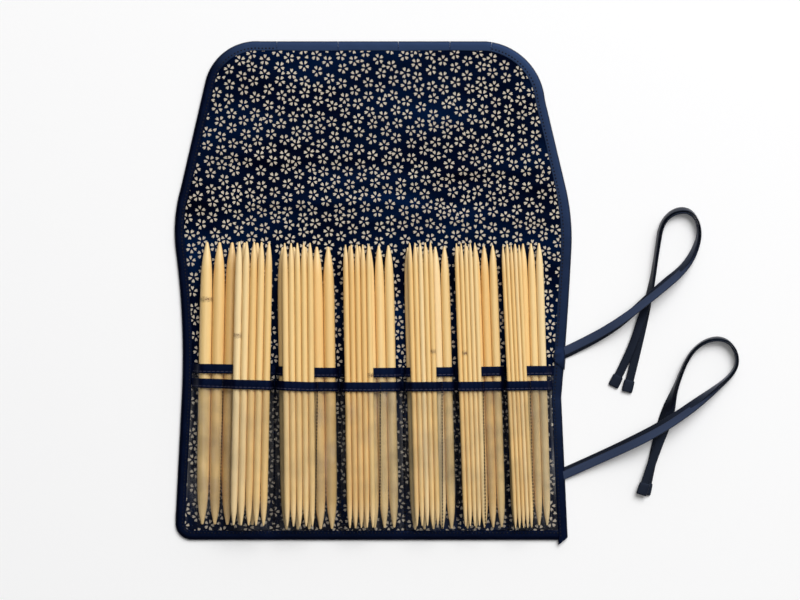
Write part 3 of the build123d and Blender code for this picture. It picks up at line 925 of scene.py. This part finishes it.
# Height of a sheet pulled over a set: circles round the first and last needle, between
# them nearly level with a dip of 0.1 (1 - cos) / 2 over each gap, and straight flanks that
# leave the circles for a foot on each side. Over the tapers the radius shrinks.
def drapeHeight(x, y, row, grow, leftFoot, rightFoot, footZ):
    nose = smoothStep(needles["endY"] - 1, needles["endY"] + pockets["noseLength"], y)
    size = needles["tipShare"] * 0.5 + (0.5 - needles["tipShare"] * 0.5) * nose ** 0.6
    radius = row.d * size + needles["gap"] + grow
    middle = row.middle(y)
    first, last = middle - row.reach, middle + row.reach
    off = np.maximum(np.maximum(first - x, x - last), 0)
    cap = row.z + np.sqrt(np.maximum(radius**2 - off**2, 0))
    dip = pockets["dip"] * (1 - np.cos(2 * np.pi * (x - first) / row.pitch)) / 2
    height = np.where(off > 0, np.where(off < radius, cap, -1.0), cap - dip)
    for foot, centre, side in ((leftFoot, first, 1), (rightFoot, last, -1)):
        across, up = (centre - foot) * side, row.z - footZ
        span = np.hypot(across, up)
        steep = np.arctan2(up, across) + np.arcsin(np.clip(radius / span, 0, 0.999))
        steep = np.minimum(steep, np.radians(89))
        touch = centre - side * radius * np.sin(steep)
        slope = footZ + (x - foot) * side * np.tan(steep)
        onSlope = ((x - foot) * side > 0) & ((x - touch) * side < 0)
        height = np.where(onSlope, np.maximum(height, slope), height)
    return height


# Left and right x of a column's pockets, drawn in by inset
def pocketEdges(column, y, inset):
    low, high = columnEdges(column, y, binding["width"])
    return low + inset, high - inset


def tickAt(column, y):
    return np.interp(y, pockets["tickY"], (pockets["tickFootX"][column], pockets["tickX"][column]))


# Height of the underside of a layer: the highest of what it is pulled over. backGrow and
# frontGrow are its distances from the thick set and, for a front layer, from the thin set.
def layerHeight(column, x, y, base, backGrow, frontGrow=None):
    low, high = pocketEdges(column, y, pockets["footInset"])
    back, thin = backRows[column], frontRows[column]
    over = drapeHeight(x, y, back, backGrow, low - backGrow, high + backGrow, seamZ)
    height = np.maximum(base, over)
    if frontGrow is not None:
        tick = tickAt(column, y)
        shelf = back.z + back.d / 2 + needles["gap"] + backGrow
        if column == 0:
            feet = (tick - frontGrow, high + frontGrow, shelf)
        else:
            feet = (low - frontGrow, tick + frontGrow, shelf)
        height = np.maximum(height, drapeHeight(x, y, thin, frontGrow, *feet))
    closed = smoothStep(needles["endY"] - pockets["endWall"], needles["endY"] + 0.1, y)
    height = base + (height - base) * closed
    for _ in range(2):
        even = (height[:, :-2] + 2 * height[:, 1:-1] + height[:, 2:]) / 4
        height[:, 1:-1] = np.maximum(height[:, 1:-1], even)
    return height


# Underside and top of a layer of one thickness
def layerPair(thick, column, x, y, base, grows):
    return (layerHeight(column, x, y, base + t, *(grow + t for grow in grows)) for t in (0, thick))


seamZ = case["thickness"] + pockets["fit"]
level = pockets["sheet"] + pockets["fit"]
endRows = np.array([-pockets["endWall"], -0.5, -0.2, 0.1, 0.5, 1.0]) + needles["endY"]
# the line of each layer's mouth, its height at the seams, its distances from the needles
layers = {
    "back": (pockets["backMouthY"], seamZ, (0.0,)),
    "front": (pockets["frontMouthY"], seamZ + level, (level, 0.0)),
}


for column in columns:
    for layer, (mouthY, base, grows) in layers.items():
        # the grid follows the slanting line of the mouth
        rows = np.r_[endRows, np.linspace(endRows[-1] + 1.2, np.mean(mouthY), 44)][:, None]
        low, high = pocketEdges(column, rows, pockets["edgeInset"])
        x = low + (high - low) * np.linspace(0, 1, int((high - low).max() / 0.36))
        share = (rows - rows[0]) / (rows[-1] - rows[0])
        y = rows + share * (np.interp(x, pockets["mouthX"], mouthY) - rows[-1])
        bottom, top = layerPair(pockets["sheet"], column, x, y, base, grows)
        high = smoothStep(needles["endY"] + 2, needles["endY"] + 32, y)
        low = smoothStep(0.3, 1.6, top - base - pockets["sheet"])
        laid = (1 - low) * high - 0.7 * (1 - high)
        columnPiece(f"{layer}Pocket", shell(x, y, top, bottom), clearVinyl, column, "panel",
                    "clear_vinyl", f"{layer}_pocket", sharp=80, laid=np.concatenate([laid, laid]))
print("pockets made")

fromMouth = 1 - np.linspace(0, 1, 15)[:, None]


# A hem is a folded tape: relief 0.16 sin(pi t)^0.5 across its width, with a groove along
# the stitches at t = 0.78; where the seam between two sets crosses it, it is pinched
def hemRelief(t):
    groove = np.exp(-(((t - 0.78) / 0.055) ** 2))
    return 0.16 * np.sin(np.pi * np.clip(t, 0, 1)) ** 0.5 - 0.14 * groove


# A row of x, and for each the rows of y from the hem's lower edge to the mouth
def hemGrid(x, mouthY):
    y = np.interp(x, pockets["mouthX"], mouthY) - pockets["hemWidth"] * fromMouth
    return np.broadcast_to(x, y.shape), y


hemTops = {}
for column in columns:
    for layer, (mouthY, base, grows) in layers.items():
        low, high = pocketEdges(column, np.mean(mouthY) - 2.5, pockets["edgeInset"])
        x, y = hemGrid(np.linspace(low, high, int((high - low) / 0.33))[None, :], mouthY)
        over = [grow + level for grow in grows]
        bottom, top = layerPair(pockets["hem"], column, x, y, base + level, over)
        top = top + hemRelief(fromMouth)
        if layer == "front":
            top = top - 0.36 * np.exp(-(((x - tickAt(column, y)) / 0.5) ** 2))
        columnPiece(f"{layer}Hem", shell(x, y, top, bottom), hemTape, column, "panel", "hem_tape",
                    "pocket_hems", sharp=80)
        hemTops[layer, column] = (x, y, top)

# Where a hem crosses a seam it is sewn down: a short bridge from one panel to the next,
# pinched by 0.35 exp(-(x / 0.5)^2) and creased along slanting lines
bridge = {"half": 1.5, "pinch": 0.35, "crease": 0.08, "sunk": 0.04}
away = np.linspace(-bridge["half"], bridge["half"], 13)[None, :]
for seam in range(5):
    skins = []
    for mouthY, base, _ in layers.values():
        middle = seamAt(seam, np.mean(mouthY) - 2.5)
        x, y = hemGrid(middle + away, mouthY)
        crease = bridge["crease"] * np.cos((y + 1.3 * np.abs(away)) * 3.1)
        pinch = bridge["pinch"] * np.exp(-((away / 0.5) ** 2))
        low = base + level
        top = low + pockets["hem"] + hemRelief(fromMouth) - pinch + crease - bridge["sunk"]
        skins.append(shell(x, y, top, np.full_like(y, low)))
    points, faces = together(skins)
    piece = finishMesh(f"hemBridge_{seam + 1}", points, faces, hemTape, sharp=80)
    middle, half, y = middle * mm, bridge["half"] * mm, float(points[:, 1].mean()) * mm
    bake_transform(piece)
print("hems made")

# Stitching: short rounded threads laid along each run
stitch = {
    "edge": {"length": 0.95, "gap": 0.95, "width": 0.8, "height": 0.2},
    "pocket": {"length": 1.5, "gap": 0.3, "width": 0.62, "height": 0.3},
    "hem": {"length": 1.9, "gap": 0.45, "width": 0.34, "height": 0.16},
    "first": 0.3, "besideSeam": 0.32,
}


# Lens-shaped threads along a line: each is a six-sided tube that narrows to its ends
def stitches(run, length, gap, width, height):
    steps = lengthsAlong(run)
    starts = np.arange(stitch["first"], steps[-1] - length, length + gap)
    share = np.array([0, 0.15, 0.5, 0.85, 1.0])
    size = np.array([0.25, 0.85, 1.0, 0.85, 0.25])
    places = starts[:, None] + length * share
    middle = np.stack([np.interp(places, steps, run[:, i]) for i in range(3)], -1)
    ahead = unitRows(middle[:, -1] - middle[:, 0])
    side = unitRows(np.cross(ahead, (0, 0, 1)))
    up = np.cross(side, ahead)
    angles = np.linspace(0, 2 * np.pi, 7)[:-1]
    ring = (side[:, None, None] * np.cos(angles)[:, None] * width / 2
            + up[:, None, None] * np.sin(angles)[:, None] * height)
    rings = middle[:, :, None] + ring * size[None, :, None, None]
    return [tube(r[:, ::-1]) for r in rings]


def stitchPiece(name, runs, column, body, kind, thread=stitchThread):
    skins = [skin for run in runs for skin in stitches(run, **stitch[kind])]
    columnPiece(name, together(skins), thread, column, body, "binding_tape")


for column, run in edgeRuns.items():
    stitchPiece("edgeStitches", [run], column, "bends", "edge")
for column in columns:
    if column in footRuns:
        stitchPiece("footStitches", footRuns[column], column, "panel", "edge")
    rows = np.linspace(needles["endY"] + 0.4, np.mean(pockets["frontMouthY"]) - 5.0, 70)
    tick = tickAt(column, rows)
    beside = np.stack([tick - 0.4, tick, tick + 0.4], -1)
    height = layerHeight(column, beside, rows[:, None] + 0 * beside, seamZ + level, level, 0.0)[:, 1]
    runs = [np.stack([tick, rows, height + pockets["sheet"] + 0.02], -1)]
    x, y, top = hemTops["front", column]
    at = np.abs(x[0] - tickAt(column, y.mean())).argmin()
    runs.append(np.stack([x[::-1, at], y[::-1, at], top[::-1, at] + 0.02], -1))
    for seam, side in ((column - 1, 1), (column, -1)):
        if 0 <= seam < 5:
            rows = np.linspace(case["bottomY"] + 5, np.mean(pockets["frontMouthY"]) - 5.5, 50)
            x = seamAt(seam, rows) + side * stitch["besideSeam"]
            runs.append(np.stack([x, rows, np.full(50, case["thickness"] + 0.25)], -1))
    stitchPiece("pocketStitches", runs, column, "panel", "pocket")
    runs = [np.stack([part[3] for part in hemTops[layer, column]], -1) + [0, 0, 0.07]
            for layer in layers]
    stitchPiece("hemStitches", runs, column, "panel", "hem", hemThread)
print("stitching made")

# Floor and light: a white floor, a broad key from the upper right, a weak fill opposite and
# a dome whose strength is least + gain * cos(angle to the upper right)^2
studio = {
    "floorSize": 4.0, "floorZ": -0.05, "floor": (0.985, 0.985, 0.99, 1),
    "floorLight": (0.992, 0.992, 0.992, 1),
    "domeLeast": 0.04, "domeGain": 0.85, "domeSide": (0.5, 0.75, 0.43),
    # name, place, size and power of each lamp
    "lamps": [
        ("key", (1.29, 2.04, 2.8), 2.4, 119.0),
        ("fill", (-0.2, -0.3, 2.6), 1.4, 9.0),
    ],
}
paleFloor, place = newMaterial("paleFloor")
pale = mixColour(noise(place, 3.0), studio["floor"], studio["floorLight"])
closeMaterial({"Base Color": pale, "Roughness": 0.9, "Specular IOR Level": 0.1})
corners = np.array([(-1, -1, 0), (1, -1, 0), (1, 1, 0), (-1, 1, 0)]) * studio["floorSize"] / 2 / mm
corners[:, 2] = studio["floorZ"]
finishMesh("floor", corners, [[0, 1, 2, 3]], paleFloor)

world = bpy.data.worlds.new("studio")
bpy.context.scene.world = world
world.use_nodes = True
tree = world.node_tree
backdrop = tree.nodes["Background"]
backdrop.inputs[0].default_value = (1.0, 1.0, 1.0, 1)
direction = node("TexCoord").outputs["Generated"]
facing = node("VectorMath", {0: direction, 1: studio["domeSide"]}, operation="DOT_PRODUCT")
bright = maths("POWER", maths("MAXIMUM", facing.outputs["Value"], 0.0), 2.0)
dome = maths("MULTIPLY_ADD", bright, studio["domeGain"], studio["domeLeast"])
seen = node("LightPath").outputs["Is Camera Ray"]
tree.links.new(maths("MAXIMUM", dome, seen), backdrop.inputs[1])
for name, spot, size, power in studio["lamps"]:
    lamp = bpy.data.lights.new(name, "AREA")
    lamp.shape = "SQUARE"
    lamp.size = size
    lamp.energy = power
    holder = addObject(name, lamp)
    holder.location = spot
    holder.rotation_euler = (-Vector(spot)).to_track_quat("-Z", "Y").to_euler()
print("light and floor made")
